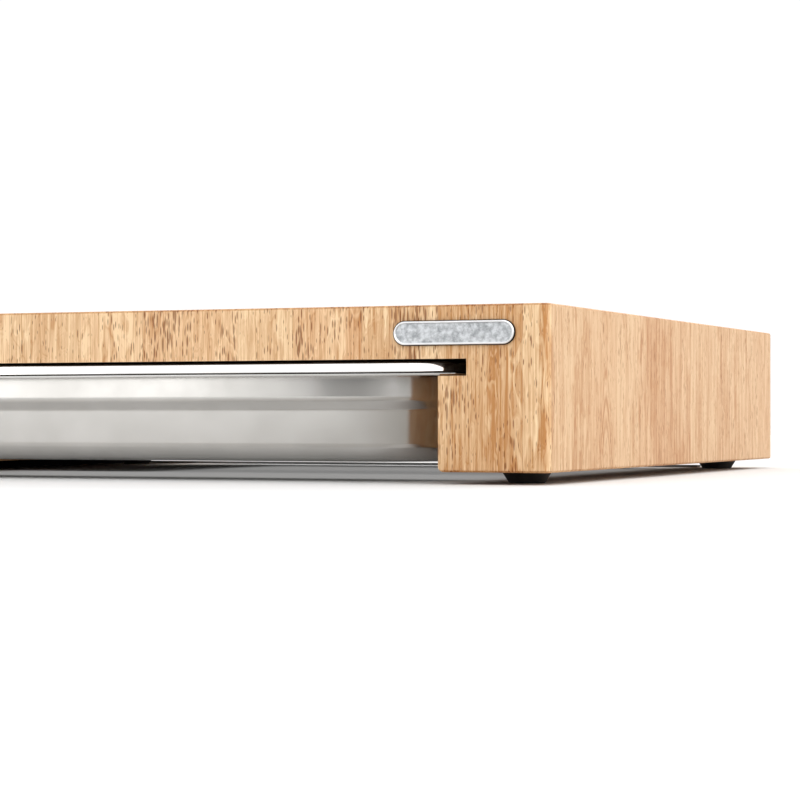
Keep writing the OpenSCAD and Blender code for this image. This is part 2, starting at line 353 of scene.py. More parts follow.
def wood_surface(group, given, fibre, pores):
    """The roughness, and a height in which the bottom of a pore is -1."""
    rough = maths(group, "ADD", SMOOTH_WOOD, maths(group, "MULTIPLY", fibre, ROUGHER_FIBRE))
    rough = maths(group, "ADD", rough, maths(group, "MULTIPLY", pores, ROUGHER_PORE))
    relief = maths(group, "SUBTRACT", maths(group, "MULTIPLY", fibre, HIGHER_FIBRE), pores)
    joint = maths(group, "MULTIPLY", given["Glue"], LOWER_GLUE)
    return rough, maths(group, "SUBTRACT", relief, joint)


print("roughness of the wood", SMOOTH_WOOD, "to", SMOOTH_WOOD + ROUGHER_FIBRE,
      "and in its pores", ROUGHER_PORE, "more")

# %% [markdown]
# ### The wood as one group
# All of this could be written out in the material of every strip. A node group holds it once, like
# a function that Blender can draw, and each strip only hands in its numbers.

# %% The node group of the wood
GIVEN = {"Point": "Vector", "Seed": "Float", "Tone": "Float", "Red": "Float",
         "Glue": "Float", "End": "Float", "Pores": "Float"}
MADE = {"Colour": "Color", "Roughness": "Float", "Height": "Float"}


def wood_group():
    group = bpy.data.node_groups.new("upright rubberwood", "ShaderNodeTree")
    for in_out, sockets in (("INPUT", GIVEN), ("OUTPUT", MADE)):
        for name, kind in sockets.items():
            group.interface.new_socket(name, in_out=in_out, socket_type="NodeSocket" + kind)
    given = group.nodes.new("NodeGroupInput").outputs
    dice, moved, radius = place_in_tree(group, given["Point"], given["Seed"])
    rings = growth_rings(group, radius, given["Seed"])
    fibres = upright_fibres(group, moved)
    pores = sap_pores(group, moved, dice, given["Pores"])
    colour = wood_colour(group, given, rings, fibres, pores)
    rough, relief = wood_surface(group, given, fibres[0], pores)
    result = group.nodes.new("NodeGroupOutput").inputs
    for name, value in (("Colour", colour), ("Roughness", rough), ("Height", relief)):
        group.links.new(value, result[name])
    return group


UPRIGHT_WOOD = wood_group()
print("wood group:", len(UPRIGHT_WOOD.nodes), "nodes")

# %% [markdown]
# ## The glued pieces of each strip
# A strip of the block runs from front to back and is itself glued up from short pieces. Each piece
# could be an object of its own, but the CAD model has one solid for a strip, and a joint in wood is
# only a thin line. So a colour ramp with hard steps stands for the pieces: along the strip it gives
# each one a number for its tree, a tone from pale to warm, and a red cast. Reading the ramp twice,
# a hair's breadth apart, finds the glue lines, because there the two readings differ.

# %% Pieces and glue lines
LOOK_AHEAD = 0.25 * MM
GLUE_EDGE, GLUE_CORE = 0.16 * MM, 0.08 * MM
NUMBER_START, NUMBER_REACH, NUMBER_STEP = 0.02, 0.9, 0.37
SAME_PIECE = 0.001


def read_pieces(tree, share, pieces, total):
    """Number, tone and red cast of the piece that lies at this share of the strip's length."""
    node = add(tree, "ValToRGB", {"Fac": share})
    ramp = node.color_ramp
    ramp.interpolation = "CONSTANT"
    start = 0.0
    for i, (length, tone, red) in enumerate(pieces):
        step = ramp.elements[0] if i == 0 else ramp.elements.new(start)
        step.position = start
        number = NUMBER_START + NUMBER_REACH * (i * NUMBER_STEP % 1)
        step.color = (number, tone, red, 1)
        start += length / total
    ramp.elements.remove(ramp.elements[-1])
    return add(tree, "SeparateColor", {0: node.outputs[0]}).outputs


def glue_lines(tree, x, left, right, number, next_number):
    """1 in the joints between pieces and along both sides of the strip, and 0 elsewhere."""
    glue = maths(tree, "GREATER_THAN", distance(tree, number, next_number), SAME_PIECE)
    for side in (left, right):
        line = between(tree, distance(tree, x, side), GLUE_EDGE, GLUE_CORE)
        glue = maths(tree, "MAXIMUM", glue, line)
    return glue


print("a glue line is", 2 * round(GLUE_EDGE / MM, 2), "mm wide")

# %% [markdown]
# ## The groove's painted shade
# The groove looks black behind its clean mouth, because hardly any light comes in. That shade is
# painted: the faces of the groove and the slab's underside over the tray's bead are coloured
# near-black. Paint on a face of its own would do, but the grooves belong to the strips' solids. So
# the painted shade is given by place: it starts a little behind the front face and keeps to the
# heights of the groove.

# %% Painted shade in the groove
# near-black colour of the groove's painted shade
PAINTED_GROOVE_SHADE = (0.010, 0.005, 0.003, 1)
# Each pair says where the painted shade starts and where it is full
GROOVE_SHADE_BEHIND_FRONT = (0.3 * MM, 1.2 * MM)
GROOVE_SHADE_FROM_MIDDLE = (164.0 * MM, 163.6 * MM)
GROOVE_SHADE_OVER_FLOOR = (44.4 * MM, 45.0 * MM)
GROOVE_SHADE_UNDER_ROOF = (52.0 * MM, 51.8 * MM)
GROOVE_SHADE_DEPTH = 0.93


def painted_groove_shade(tree, x, y, z, front):
    start, full = GROOVE_SHADE_BEHIND_FRONT
    shaded = between(tree, y, front + start, front + full)
    limits = ((size_of(tree, x), GROOVE_SHADE_FROM_MIDDLE), (z, GROOVE_SHADE_OVER_FLOOR), (z, GROOVE_SHADE_UNDER_ROOF))
    for value, (start, full) in limits:
        shaded = maths(tree, "MULTIPLY", shaded, between(tree, value, start, full))
    return maths(tree, "MULTIPLY", shaded, GROOVE_SHADE_DEPTH)


print("burnt from", round(GROOVE_SHADE_OVER_FLOOR[0] / MM, 1), "to", round(GROOVE_SHADE_UNDER_ROOF[0] / MM, 1),
      "mm over the table")

# %% [markdown]
# ## Material of one strip
# A strip's material puts all this together: the ramp gives each glued piece its numbers, the wood
# group turns them into colour and relief, and the painted shade of the groove comes last. Whether a
# face shows fibres or cut ends could be picked by hand for each face. The direction in which the
# surface faces tells it too, and so the rounded edges get something in between.

# %% Material of one strip
END_GRAIN = (0.15, 0.45)
PORE_DEPTH, RELIEF = 0.10 * MM, 0.35
PIECE_SEEDS = 91.7


def strip_material(name, ends, sides, pieces, seed, pores=1.0, figure=None):
    """ends are front and back, sides are left and right. pieces holds (length, tone, red) of each
    glued piece from the front. figure, if given, is a function that makes some places warmer."""
    material, tree = new_material(name)
    front, back = ends
    point = object_point(tree)
    x, y, z = split(tree, point)
    along = maths(tree, "DIVIDE", maths(tree, "SUBTRACT", y, front), back - front)
    number, tone, red = read_pieces(tree, along, pieces, back - front)
    ahead = maths(tree, "ADD", along, LOOK_AHEAD / (back - front))
    glue = glue_lines(tree, x, *sides, number, read_pieces(tree, ahead, pieces, back - front)[0])
    upwards = split(tree, add(tree, "TexCoord").outputs["Normal"])[2]
    end = between(tree, size_of(tree, upwards), *END_GRAIN)
    if figure:
        tone = maths(tree, "ADD", tone, figure(tree, x, y, z))

    wood = add(tree, "Group", node_tree=UPRIGHT_WOOD)
    wood.inputs["Pores"].default_value = pores
    own_seed = maths(tree, "MULTIPLY_ADD", number, PIECE_SEEDS, seed)
    for key, value in (("Point", point), ("Seed", own_seed), ("Tone", tone), ("Red", red),
                       ("Glue", glue), ("End", end)):
        tree.links.new(value, wood.inputs[key])
    bump = add(tree, "Bump", {"Height": wood.outputs["Height"], "Strength": RELIEF,
                              "Distance": PORE_DEPTH})
    # painted shade: the groove's faces are darkened to near-black
    shaded = painted_groove_shade(tree, x, y, z, front)
    colour = blend_colours(tree, shaded, wood.outputs["Colour"], PAINTED_GROOVE_SHADE)
    finish(tree, Base_Color=colour, Roughness=wood.outputs["Roughness"], Normal=bump.outputs[0],
           IOR=1.45, Specular_IOR_Level=0.35)
    return material


print("pores look", round(PORE_DEPTH / MM, 2), "mm deep")

# %% [markdown]
# ## The figure of the right corner
# The outer strip on the right shows more than any other: a pointed arch low on its side, dark
# streaks beside the corner, and a front face that is warmer than the side. Chance would hardly ever
# put an arch in that place, so the dice are helped here. The arch is the curve where a height and a
# power of the distance to the side balance, drawn three times, one line inside the next. The side
# is seen at a slant that swallows fine threads, so it also gets lines a few millimetres wide. They
# keep off the arch and the front face.

# %% The arch on the side
ARCH_Y, ARCH_TOP = -112.7 * MM, 35.5 * MM
ARCH_WIDE, ARCH_DEEP, ARCH_POWER = 9.0 * MM, 30.0 * MM, 1.6
ARCH_LINES = ((0.0, 0.80), (0.34, 0.55), (-0.40, 0.35))  # place in the arch, strength
LINE_HALF = 0.13
ARCH_FADE = (2.2, 1.6)  # ends and is full, in widths of the arch


def side_arch(tree, y, z):
    """The lines of the arch, and how near the point is to it."""
    wide = maths(tree, "DIVIDE", maths(tree, "SUBTRACT", y, ARCH_Y), ARCH_WIDE)
    deep = maths(tree, "DIVIDE", maths(tree, "SUBTRACT", ARCH_TOP, z), ARCH_DEEP)
    bow = maths(tree, "POWER", size_of(tree, wide), ARCH_POWER)
    curve = maths(tree, "SUBTRACT", deep, bow)
    arch = 0.0
    for start, strength in ARCH_LINES:
        line = between(tree, distance(tree, curve, start), LINE_HALF, 0.0)
        arch = maths(tree, "ADD", arch, maths(tree, "MULTIPLY", line, strength))
    near = between(tree, size_of(tree, wide), *ARCH_FADE)
    return maths(tree, "MULTIPLY", arch, near), near


print("arch at", round(ARCH_Y / MM, 1), "mm, its tip", round(ARCH_TOP / MM, 1), "mm up")


# %% Streaks and lines of the right corner
SIDE_FACE, FRONT_FACE = (0.1960, 0.1985), (-0.1850, -0.1866)
STREAK_X, STREAK_EDGES = 0.1966, (2.2 * MM, 0.6 * MM)
STREAK_WIDTH, STREAK_LENGTH, STREAK_LIMITS = 0.0016, 0.016, (0.40, 0.60)
SIDE_LINE_WIDTH, SIDE_LINE_LENGTH = 0.0034, 0.070
SIDE_LINE_TONES = (0.37, 0.63, -0.22, 0.28)  # two noise values, and the tone at each of them
KEPT_AT_ARCH = 0.15
FRONT_TONE, STREAK_TONE = 0.14, 0.55


def flat_noise(tree, x, y, z, width, length, detail=2.0):
    place = add(tree, "CombineXYZ", {"X": x, "Y": y, "Z": z}).outputs[0]
    return noise(tree, stretched(tree, place, width, length), 1.0, detail)


def corner_figure(tree, x, y, z):
    on_side = between(tree, x, *SIDE_FACE)
    on_front = between(tree, y, *FRONT_FACE)
    arch, near = side_arch(tree, y, z)
    arch = maths(tree, "MULTIPLY", arch, on_side)
    lines = flat_noise(tree, 0.0, y, z, SIDE_LINE_WIDTH, SIDE_LINE_LENGTH, 3.0)
    lines = between(tree, lines, *SIDE_LINE_TONES)
    lines = maths(tree, "MULTIPLY", lines, maths(tree, "SUBTRACT", 1.0, on_front))
    lines = maths(tree, "MULTIPLY", lines, on_side)
    lines = maths(tree, "MULTIPLY", lines, between(tree, near, 0.0, 1.0, 1.0, KEPT_AT_ARCH))
    streak = flat_noise(tree, x, 0.0, z, STREAK_WIDTH, STREAK_LENGTH)
    streak = between(tree, streak, *STREAK_LIMITS)
    beside = between(tree, distance(tree, x, STREAK_X), *STREAK_EDGES)
    streak = maths(tree, "MULTIPLY", beside, streak)
    warm = maths(tree, "ADD", FRONT_TONE, maths(tree, "MULTIPLY", streak, STREAK_TONE))
    warm = maths(tree, "MULTIPLY", on_front, warm)
    return maths(tree, "ADD", maths(tree, "ADD", arch, lines), warm)


print("streaks", round(STREAK_X / MM, 1), "mm from the middle of the board")

# %% [markdown]
# ## Cutting list
# The right outer strip can be seen along the whole side of the board, so its pieces have the
# lengths that the joints there show. The front pieces of the other strips have the tones seen on
# the front face. The rest could be left in one piece, but the top would give it away. It is laid
# out with a seeded random generator, so that every run glues up the same board.

# %% The cutting list
STRIPS = {
    # name: (tone, red cast) of the piece at the front
    "outer_cheek_right": (0.05, 0.00),
    "inner_cheek_right": (0.50, 0.00),
    "slab_strip_1": (0.30, 0.05),
    "slab_strip_2": (0.22, 0.30),
    "slab_strip_3": (0.14, 0.10),
    "slab_strip_4": (0.20, 0.25),
    "slab_strip_5": (0.10, 0.20),
    "slab_strip_6": (0.22, 0.10),
    "slab_strip_7": (0.06, 0.30),
    "slab_strip_8": (0.26, 0.15),
    "slab_strip_9": (0.10, 0.10),
    "inner_cheek_left": (0.30, 0.10),
    "outer_cheek_left": (0.12, 0.00),
}
SIDE_PIECES = [
    # length in mm, tone, red cast
    (27.5, 0.05, 0.00), (21.8, 0.10, 0.00), (41.3, 0.12, 0.10),
    (32.1, 0.00, 0.05), (87.1, 0.26, 0.20), (49.2, 0.04, 0.05),
    (45.0, 0.14, 0.10), (39.0, 0.02, 0.10), (30.0, 0.08, 0.15),
]
SHORTEST, LONGEST, OFFCUT = 26, 90, 22
TONES, RED_CASTS = (0.0, 0.36), (0.0, 0.3)


def cut_pieces(front_look, total, dice):
    pieces, left = [], total
    while left > 0:
        length = min(left, dice.uniform(SHORTEST, LONGEST) * MM)
        if left - length < OFFCUT * MM:
            length = left
        look = front_look if not pieces else (dice.uniform(*TONES), dice.uniform(*RED_CASTS))
        pieces.append((length, *look))
        left -= length
    return pieces


print(len(STRIPS), "strips;", len(SIDE_PIECES), "pieces can be counted along the right side")

# %% [markdown]
# ## Dress the strips
# The strips stay the CAD solids, because flat faces need no finer mesh. One material could serve
# all of them, but then neighbours would be cut from one piece of wood. So each strip gets its own,
# with a seed and a cutting list. The outer strip on the right has smaller pores than the others.

# %% Dress the strips of the block
block_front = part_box("slab_strip_1")[0][1]
block_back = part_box("slab_strip_1")[1][1]
SMALLER_PORES = 0.72
FIRST_DICE, TREE_STEP = 40, 7.0

for order, (name, look) in enumerate(STRIPS.items()):
    low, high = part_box(name)
    if name == "outer_cheek_right":
        pieces = [(length * MM, tone, red) for length, tone, red in SIDE_PIECES]
        special = (SMALLER_PORES, corner_figure)
    else:
        pieces = cut_pieces(look, block_back - block_front, random.Random(FIRST_DICE + order))
        special = ()
    strip = nodes[name]
    strip.data.materials.clear()
    strip.data.materials.append(strip_material(
        "rubberwood " + name, (block_front, block_back), (low[0], high[0]), pieces,
        TREE_STEP * order, *special))
    print(name, "glued from", len(pieces), "pieces, first", round(pieces[0][0] / MM), "mm")

# %% [markdown]
# ## Helper for meshes
# The trays, feet and badge are pressed, moulded and cast, so they have soft edges all over. Blender
# can bevel a block to get such edges, but a bevel can't follow a section that changes at every
# turn. So each piece is made as rings of points that are joined into faces, like the hoops of a
# barrel.

# %% Helpers that join rings into a mesh
def mesh_piece(name, points, faces, smooth=True):
    mesh = bpy.data.meshes.new(name)
    mesh.from_pydata(points, [], faces)
    mesh.validate()
    work = bmesh.new()
    work.from_mesh(mesh)
    bmesh.ops.recalc_face_normals(work, faces=work.faces)
    work.to_mesh(mesh)
    work.free()
    for face in mesh.polygons:
        face.use_smooth = smooth
    piece = bpy.data.objects.new(name, mesh)
    bpy.context.scene.collection.objects.link(piece)
    return piece


def join_rings(rings, closed=False):
    """Faces between rings that all have the same number of points."""
    count = len(rings[0])
    points = [p for ring in rings for p in ring]
    faces = []
    pairs = len(rings) if closed else len(rings) - 1
    for r in range(pairs):
        s = (r + 1) % len(rings)
        for i in range(count):
            j = (i + 1) % count
            faces.append((r * count + i, r * count + j, s * count + j, s * count + i))
    return points, faces


print("two rings of four points give", len(join_rings([[0] * 4] * 2)[1]), "faces")

# %% [markdown]
# ## The trays
# A tray starts as a flat sheet and is drawn into a die. What shows is the section of the die: a lip
# whose edge turns up, a raised bead with a flat crown, an upright band, a shoulder on which trays
# stack, a wall that leans in, and a large radius into the bottom.
#
# The sizes are taken from the CAD tray's box, so that the dressed tray can't outgrow it.

# %% Sizes of a tray
tray_low, tray_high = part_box("front_tray")
TRAY_W = tray_high[0] - tray_low[0]
TRAY_D = tray_high[1] - tray_low[1]
LIP_W, RIM_W, BEAD_H = 3.7 * MM, 12.5 * MM, 6.1 * MM
SHEET = 0.8 * MM
rim_underside = tray_high[2] - BEAD_H
BOTTOM = tray_low[2] - rim_underside
tray_mid = (tray_low[1] + tray_high[1]) / 2
print("tray", round(TRAY_W / MM, 1), "x", round(TRAY_D / MM, 1), "mm,",
      "its rim", round(rim_underside / MM, 1), "mm over the table")

# %% [markdown]
# ### Bends in the sheet
# Sheet steel never folds to a sharp line: it runs round each edge of the die in an arc. The section
# is therefore drawn as a path of straight runs, and each corner is then replaced by an arc of its
# own radius. Smooth shading bends the light over a whole face, which would make the straight runs
# look hollow. Extra points close to their ends keep them flat.

# %% Rounding a path
def rounded(start, bends, stop, steps=6):
    """A path from start to stop. bends holds (x, y, radius) of each corner, drawn as an arc."""
    path = [Vector(start), *[Vector(bend[:2]) for bend in bends], Vector(stop)]
    out = [path[0]]
    for before, corner, after, (_, _, radius) in zip(path, path[1:], path[2:], bends):
        a, b = (before - corner).normalized(), (after - corner).normalized()
        half = math.acos(max(-1, min(1, a.dot(b)))) / 2
        reach = radius / math.tan(half)
        middle = corner + (a + b).normalized() * radius / math.sin(half)
        first, last = corner + a * reach, corner + b * reach
        sweep = math.pi - 2 * half
        turn = 1 if (first - middle).cross(last - middle) > 0 else -1
        arm = first - middle
        for i in range(steps + 1):
            angle = turn * sweep * i / steps
            out.append(middle + Vector((arm.x * math.cos(angle) - arm.y * math.sin(angle),
                                        arm.x * math.sin(angle) + arm.y * math.cos(angle))))
    out.append(path[-1])
    return out


def kept_flat(path, margin=0.3 * MM):
    """Extra points just inside both ends of each straight run."""
    out = [path[0]]
    for start, stop in zip(path, path[1:]):
        length = (stop - start).length
        if length > 4 * margin:
            out += [start.lerp(stop, margin / length), start.lerp(stop, 1 - margin / length)]
        out.append(stop)
    return out


print("a right angle becomes", len(rounded((0, 0), [(1, 0, 0.5)], (1, 1))) - 2, "points")

# %% [markdown]
# ### The section of the tray
# The sheet is equally thick all over, so only the middle of the sheet is drawn, from the lip to the
# bottom. Both surfaces lie half a thickness to its sides. They are joined by a half circle round
# the cut edge of the lip, which is deburred on a real tray so that it can't cut a hand.

# %% The section of the tray
TURN_UP = 1.2 * MM
SHOULDER_TOP, SHOULDER_FOOT, SHOULDER_W = -9.4 * MM, -13.9 * MM, 2.5 * MM
WALL_FOOT, FLAT_START = 4.0 * MM, 34 * MM


def sheet_middle():
    """The middle of the sheet. x counts inwards from the edge of the rim, y upwards from its
    underside."""
    half = SHEET / 2
    foot, mouth, crown = LIP_W + half, RIM_W + half, BEAD_H - half
    bends = [
        (half, half, 0.45 * MM),                      # the lip's edge turns up
        (foot - 0.05 * MM, half, 1.8 * MM),           # the crease between lip and bead
        (foot + 0.45 * MM, crown, 0.45 * MM),         # outer edge of the bead
        (mouth, crown, 2.8 * MM),                     # inner edge of the bead
        (mouth, SHOULDER_TOP, 4 * MM),                # the band ends in the shoulder
        (mouth + SHOULDER_W, SHOULDER_FOOT, 3 * MM),  # the wall starts
        (mouth + WALL_FOOT, BOTTOM + half, 8 * MM),   # the wall ends in the bottom
    ]
    return kept_flat(rounded((half, TURN_UP), bends, (mouth + FLAT_START, BOTTOM + half), 7))


def tray_section(edge_steps=8):
    """The outline of the sheet: along its underside from the bottom to the lip, round the lip's
    edge, and back along its upper side."""
    half = SHEET / 2
    middle = sheet_middle()
    last = len(middle) - 1
    upper, lower = [], []
    for i, point in enumerate(middle):
        run = (middle[min(i + 1, last)] - middle[max(i - 1, 0)]).normalized()
        side = Vector((-run.y, run.x)) * half
        upper.append(point + side)
        lower.append(point - side)
    run = (middle[1] - middle[0]).normalized()
    side = Vector((-run.y, run.x))
    lip_edge = []
    for i in range(1, edge_steps):
        angle = math.pi * i / edge_steps
        lip_edge.append(middle[0] - half * (side * math.cos(angle) + run * math.sin(angle)))
    return lower[::-1] + lip_edge + upper


section = tray_section()
print("tray section:", len(section), "points")

# %% [markdown]
# ### The plan of the tray
# Seen from above every line of the tray is a rectangle with round corners, but not with the same
# corners: the bead turns on a smaller radius than the wall, so the crown is wider there. Moving one
# outline inwards would miss that. So a table says, for some distances from the edge of the rim, how
# far the corner reaches along the sides.
#
# Drawn sheet doesn't turn abruptly either. The softness tells how much of the bend is held back at
# the ends of a corner: 0 gives a quarter circle, and 1 a bend that starts from nothing.

# %% The plan of the tray
CORNERS = [
    # distance from the edge of the rim in mm, reach of the corner in mm, softness
    (0.0, 15.0, 0.0), (1.4, 13.6, 0.0), (3.7, 24.0, 0.0), (5.2, 22.5, 0.0),
    (10.0, 72.9, 1.0), (12.9, 70.0, 1.0), (50.0, 32.9, 1.0),
]


def corner_of(inset):
    """How far a ring's corner reaches along the sides, and how softly it starts."""
    mm = min(max(inset / MM, 0), CORNERS[-1][0])
    for before, after in zip(CORNERS, CORNERS[1:]):
        if mm <= after[0]:
            share = (mm - before[0]) / (after[0] - before[0])
            return [(a + share * (b - a)) * scale
                    for a, b, scale in zip(before[1:], after[1:], (MM, 1))]


def soft_corner(reach, softness, steps=30, fine=240):
    """A quarter turn from (reach, 0) to (0, reach), seen from the corner's own middle."""
    points = [Vector((0.0, 0.0))]
    for i in range(fine):
        u = (i + 0.5) / fine
        angle = math.pi / 2 * (u - softness * math.sin(2 * math.pi * u) / (2 * math.pi))
        points.append(points[-1] + Vector((-math.sin(angle), math.cos(angle))) / fine)
    size = points[-1].y
    return [Vector((reach, 0)) + points[round(i * fine / steps)] * (reach / size)
            for i in range(steps + 1)]


print("corner reach at the rim, the bead and the wall in mm:",
      [round(corner_of(inset * MM)[0] / MM, 1) for inset in (0, 3.7, 12.9)])

# %% [markdown]
# ### One ring of the tray
# A ring is four such corners, each turned a quarter further, with a few steps along the straight
# sides between them. Blender could round a rectangle's corners with a bevel, but only to one radius
# and with one kind of curve. Here every ring has the same number of points, so they join up without
# a gap.

# %% One ring of the tray
def ring_of(inset, height, centre_y, reach, softness, side_steps=8):
    """One ring of the tray, all round, with some steps along each straight side."""
    half_w, half_d = TRAY_W / 2 - inset - reach, TRAY_D / 2 - inset - reach
    corners = ((half_w, half_d), (-half_w, half_d), (-half_w, -half_d), (half_w, -half_d))
    bend = soft_corner(reach, softness)
    ring = []
    for quarter, (x, y) in enumerate(corners):
        turn = quarter * math.pi / 2
        ring += [Vector((x + p.x * math.cos(turn) - p.y * math.sin(turn),
                         centre_y + y + p.x * math.sin(turn) + p.y * math.cos(turn),
                         rim_underside + height)) for p in bend]
    full = []
    count = len(bend)
    for quarter in range(4):
        part = ring[quarter * count:(quarter + 1) * count]
        following = ring[(quarter + 1) * count % len(ring)]
        full += part + [part[-1].lerp(following, i / side_steps) for i in range(1, side_steps)]
    return full


print("a ring has", len(ring_of(0, 0, 0, *corner_of(0))), "points")

# %% [markdown]
# ### Press the trays
# Every point of the section becomes a ring, and the rings are joined in the section's order. The
# flat bottom could be closed with one large face on each side, but smooth shading would then drag
# the light of the bend across it. A few smaller rings inside it keep it flat. Both trays come out
# of the same die, and the rear one lies at the same distance behind the middle of the board.

# %% Press the trays
BOTTOM_RINGS = (0.1, 0.4, 0.75)


def steel_tray(name, node, centre_y):
    rings = [ring_of(p.x, p.y, centre_y, *corner_of(p.x)) for p in section]
    count = len(rings[0])
    for end in (0, -1):
        rim = rings[end]
        centre = Vector((0, centre_y, rim[0].z))
        inner = [[centre.lerp(p, share) for p in rim] for share in BOTTOM_RINGS]
        rings = inner + rings if end == 0 else rings + inner[::-1]
    points, faces = join_rings(rings)
    faces.append(tuple(reversed(range(count))))
    faces.append(tuple(range(len(points) - count, len(points))))
    tray = mesh_piece(name, points, faces)
    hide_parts(node)
    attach(tray, node)
    return tray


front_tray = steel_tray("pressed_tray_front", "front_tray", tray_mid)
rear_tray = steel_tray("pressed_tray_rear", "rear_tray", -tray_mid)
print("tray faces:", len(front_tray.data.polygons))

# %% [markdown]
# ## Painted shade along the lip
# The rim is polished on a wheel. A thin dark line runs along the cut edge of the lip and in the
# crease behind it, where the crease lies in shade. That shade is painted as a dark tint in the
# steel. It could be a strip of its own, but it has hardly any thickness. So it is a tint given by
# place: near the edge of the rim, and at one height.

# %% Painted shade along the lip
CREASE_SHADE_REACH = (5.8 * MM, 5.2 * MM)
CREASE_SHADE_HEIGHTS = ((0.92 * MM, 1.02 * MM), (1.50 * MM, 1.40 * MM))


def painted_crease_shade(tree, point):
    """1 on the painted shade along the lip and 0 elsewhere."""
    x, y, z = split(tree, point)
    aside = maths(tree, "SUBTRACT", TRAY_W / 2, size_of(tree, x))
    along = maths(tree, "SUBTRACT", TRAY_D / 2, distance(tree, size_of(tree, y), abs(tray_mid)))
    crease_shade = between(tree, maths(tree, "MINIMUM", aside, along), *CREASE_SHADE_REACH)
    for start, full in CREASE_SHADE_HEIGHTS:
        edge = between(tree, z, rim_underside + start, rim_underside + full)
        crease_shade = maths(tree, "MULTIPLY", crease_shade, edge)
    return crease_shade


print("paste reaches", round(CREASE_SHADE_REACH[0] / MM, 1), "mm in from the edge of the rim")

# %% [markdown]
# ## Tray steel
# The wall of the tray is satin: fine scratches scatter what it mirrors. The rim is polished and
# mirrors sharply. Two materials would leave a hard seam between rim and wall. It is the same steel,
# so it is one material, and its roughness and tint follow the height: bright and smooth above the
# rim's underside, duller below.

# %% Material of the trays
SATIN_LIGHT, SATIN_DARK = (0.60, 0.585, 0.56, 1), (0.54, 0.525, 0.50, 1)
POLISHED = (0.80, 0.79, 0.77, 1)
# near-black colour of the painted shade along the lip
PAINTED_CREASE_SHADE = (0.03, 0.028, 0.025, 1)
SATIN_ROUGH, UNEVEN_ROUGH, BRUSH_ROUGH, POLISHED_ROUGH = 0.145, 0.06, 0.03, 0.06
SCRATCH_WIDTH, SCRATCH_LENGTH, SCRATCH_DEPTH = 0.0002, 0.0030, 0.02 * MM
SEAM_BLUR = 0.10 * MM


def tray_steel():
    material, tree = new_material("satin tray steel")
    point = object_point(tree)
    z = split(tree, point)[2]
    satin = between(tree, z, rim_underside + SEAM_BLUR, rim_underside - SEAM_BLUR)
    brush = noise(tree, stretched(tree, point, SCRATCH_WIDTH, SCRATCH_LENGTH), 1.0, 3.0)
    dull = noise(tree, point, 60.0, 3.0)
    rough = maths(tree, "ADD", SATIN_ROUGH, maths(tree, "MULTIPLY", dull, UNEVEN_ROUGH))
    rough = maths(tree, "ADD", rough, maths(tree, "MULTIPLY", brush, BRUSH_ROUGH))
    rough = maths(tree, "MULTIPLY", rough, satin)
    rough = maths(tree, "ADD", rough, between(tree, satin, 0.0, 1.0, POLISHED_ROUGH, 0.0))
    tint = blend_colours(tree, between(tree, dull, 0.3, 0.7), SATIN_LIGHT, SATIN_DARK)
    tint = blend_colours(tree, satin, POLISHED, tint)
    # painted shade along the lip's edge and in its crease
    tint = blend_colours(tree, painted_crease_shade(tree, point), tint, PAINTED_CREASE_SHADE)
    bump = add(tree, "Bump", {"Height": maths(tree, "MULTIPLY", brush, satin), "Strength": 0.03,
                              "Distance": SCRATCH_DEPTH})
    around = add(tree, "Tangent", direction_type="RADIAL", axis="Z").outputs[0]
    finish(tree, Base_Color=tint, Metallic=1.0, Roughness=rough, Normal=bump.outputs[0],
           Anisotropic=0.3, Anisotropic_Rotation=0.25, Tangent=around)
    return material


TRAY_STEEL = tray_steel()
for tray in (front_tray, rear_tray):
    tray.data.materials.append(TRAY_STEEL)
print("tray steel: satin below", round(rim_underside / MM, 1), "mm, polished above")

# %% [markdown]
# ## Rubber feet
# A foot is moulded rubber: tapered, with a rounded lower edge and a recess for its screw. A cone
# with a hole cut into it would have the right size but sharp edges. A half section turned round an
# axis, as on a lathe, gets its rounded edges from the same helper as the trays.

# %% The shape of a foot
FOOT_BOTTOM_R, EDGE_IN = 7.8 * MM, 0.3 * MM
HOLE_R, RECESS_R, RECESS_TOP = 1.8 * MM, 4.6 * MM, 2.6 * MM
RECESS_MOUTH = 0.6 * MM


def turned(name, centre, profile, steps=64):
    """A closed half section (radius, height) turned round an upright axis."""
    rings = []
    for radius, height in profile:
        rings.append([Vector((centre[0] + radius * math.cos(2 * math.pi * i / steps),
                              centre[1] + radius * math.sin(2 * math.pi * i / steps),
                              height)) for i in range(steps)])
    points, faces = join_rings(rings, closed=True)
    return mesh_piece(name, points, faces)


def foot_profile(low, high):
    height, top_r = high[2] - low[2], (high[0] - low[0]) / 2
    bends = [
        (RECESS_R + 0.5 * MM, 0.0, 0.2 * MM),       # mouth of the recess
        (FOOT_BOTTOM_R - EDGE_IN, 0.0, 1.1 * MM),   # lower edge
        (top_r, height, 0.05 * MM),                 # upper edge, against the wood
        (HOLE_R, height, 0.05 * MM),                # upper end of the screw hole
        (HOLE_R, RECESS_TOP, 0.1 * MM),             # its lower end
        (RECESS_R, RECESS_TOP, 0.1 * MM),           # end of the recess
    ]
    start = (RECESS_R, RECESS_MOUTH)
    return [(p.x, p.y) for p in rounded(start, bends, start)[:-1]]


print("a foot narrows to", round(2 * (FOOT_BOTTOM_R - EDGE_IN) / MM, 1), "mm at the table")

# %% [markdown]
# ### Rubber
# Moulded rubber is black, dull and a little grainy, and dust settles on it in patches. A plain
# black would look like a hole in the picture. Two blacks and an uneven roughness show its form.

# %% Turn the feet
FOOT_PLACES = ("front_right", "front_left", "rear_right", "rear_left")
CLEAN_RUBBER, DUSTY_RUBBER = (0.012, 0.012, 0.012, 1), (0.030, 0.028, 0.027, 1)
GRAIN_DEPTH = 0.03 * MM


